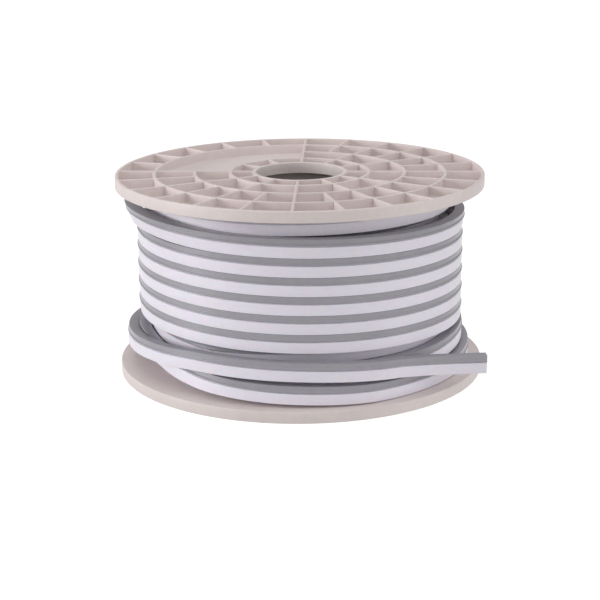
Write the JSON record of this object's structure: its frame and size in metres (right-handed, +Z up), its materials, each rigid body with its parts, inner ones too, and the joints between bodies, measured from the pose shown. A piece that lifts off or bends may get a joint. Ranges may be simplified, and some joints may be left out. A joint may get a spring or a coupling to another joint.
{
  "type": "led neon flex reel",
  "caption": "Flat two-tone LED neon flex wound on a ribbed plastic reel, with its cut end free at the front.",
  "frame": {"origin": "centre of the lower flange's outer face, on the floor", "axes": "+Z up along the reel's axis; the flex's free end leaves the winding at the front right, between -Y and +X"},
  "size_m": [0.33, 0.33, 0.1803],
  "materials": {
    "flange_plastic": "satin moulded, warm light grey",
    "barrel_plastic": "matt, dark brown grey",
    "inner_turns": "matt extruded, grey and white turns",
    "flex_base": "satin extruded, mid grey",
    "flex_diffuser": "satin extruded, milky white"
  },
  "bodies": {
    "root": {"bottom_flange": "flange_plastic", "top_flange": "flange_plastic", "hub_barrel": "barrel_plastic", "winding_core": "inner_turns", "flex_base": "flex_base", "flex_diffuser": "flex_diffuser"}
  },
  "joints": []
}
